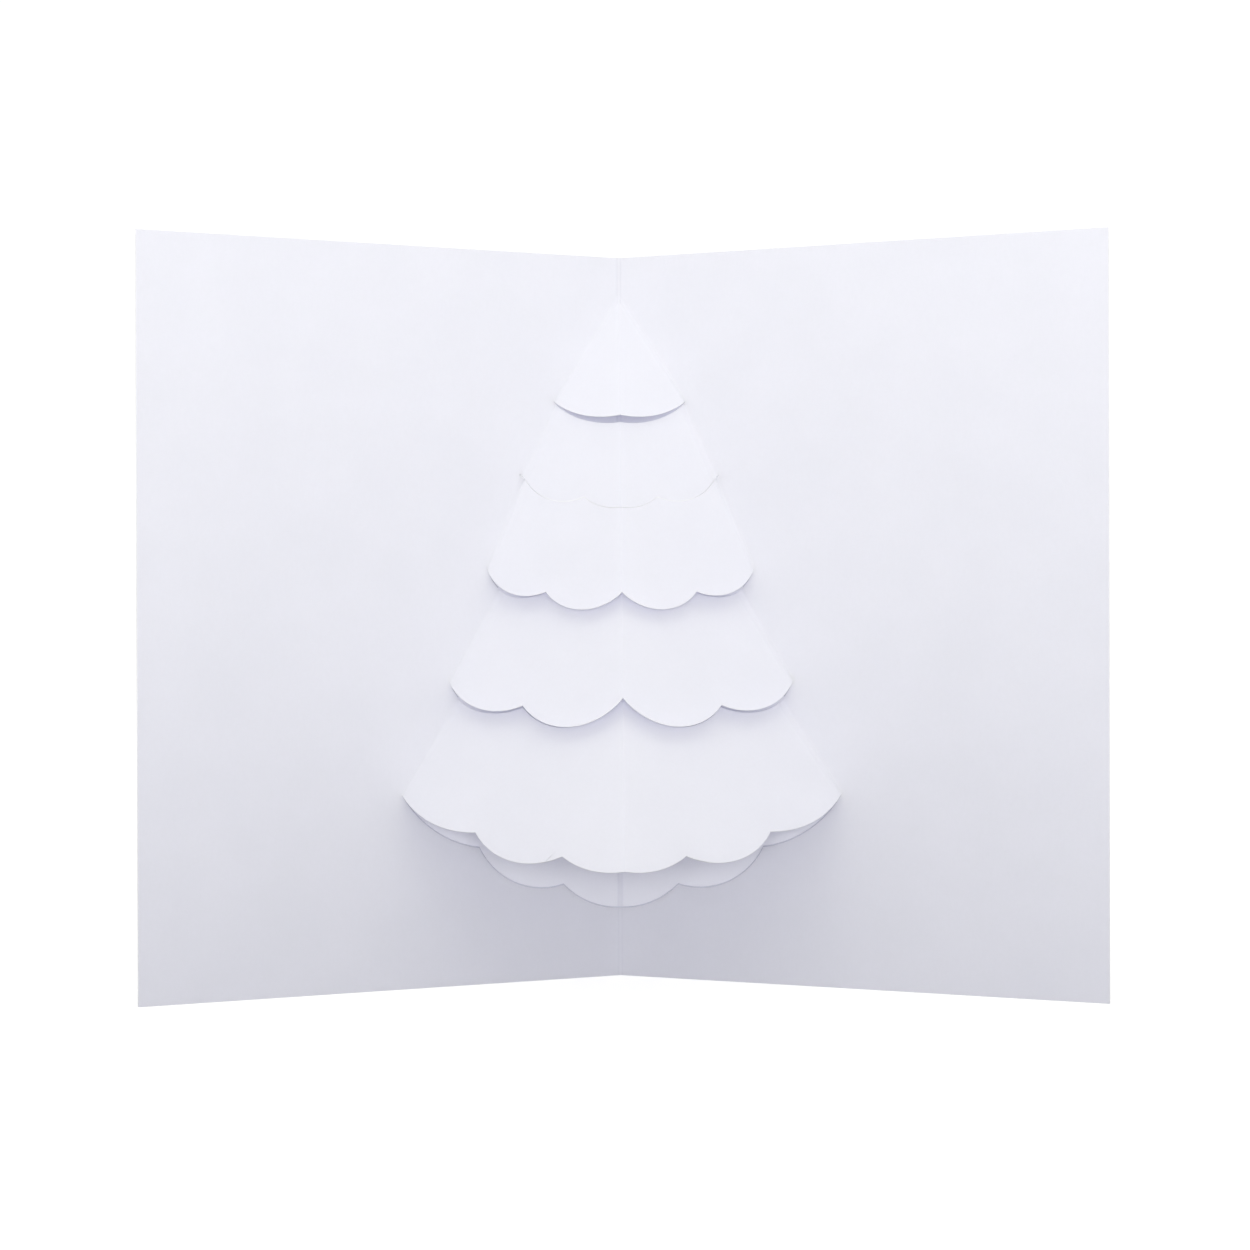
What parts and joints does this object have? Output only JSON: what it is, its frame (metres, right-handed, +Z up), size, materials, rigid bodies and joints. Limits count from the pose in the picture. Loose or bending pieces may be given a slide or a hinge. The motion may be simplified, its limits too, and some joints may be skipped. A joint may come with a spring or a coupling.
{
  "type": "pop up card",
  "caption": "Open folded greeting card that stands on its bottom edge, with a tiered fir tree cut and folded forwards out of its inner sheet.",
  "frame": {"origin": "bottom centre of the card's box, on the surface it stands on, midway between the foremost tier and the back of the fold", "axes": "+Z up along the fold, +X along the spread of the two leaves, -Y out of the open card towards the reader"},
  "size_m": [0.2232, 0.0562, 0.178],
  "materials": {
    "inner_stock": "smooth white card stock, matt with a faint sheen",
    "cover_stock": "smooth white card stock, matt with a faint sheen"
  },
  "bodies": {
    "root": {"inner_sheet": "inner_stock", "cover_sheet": "cover_stock"}
  },
  "joints": []
}
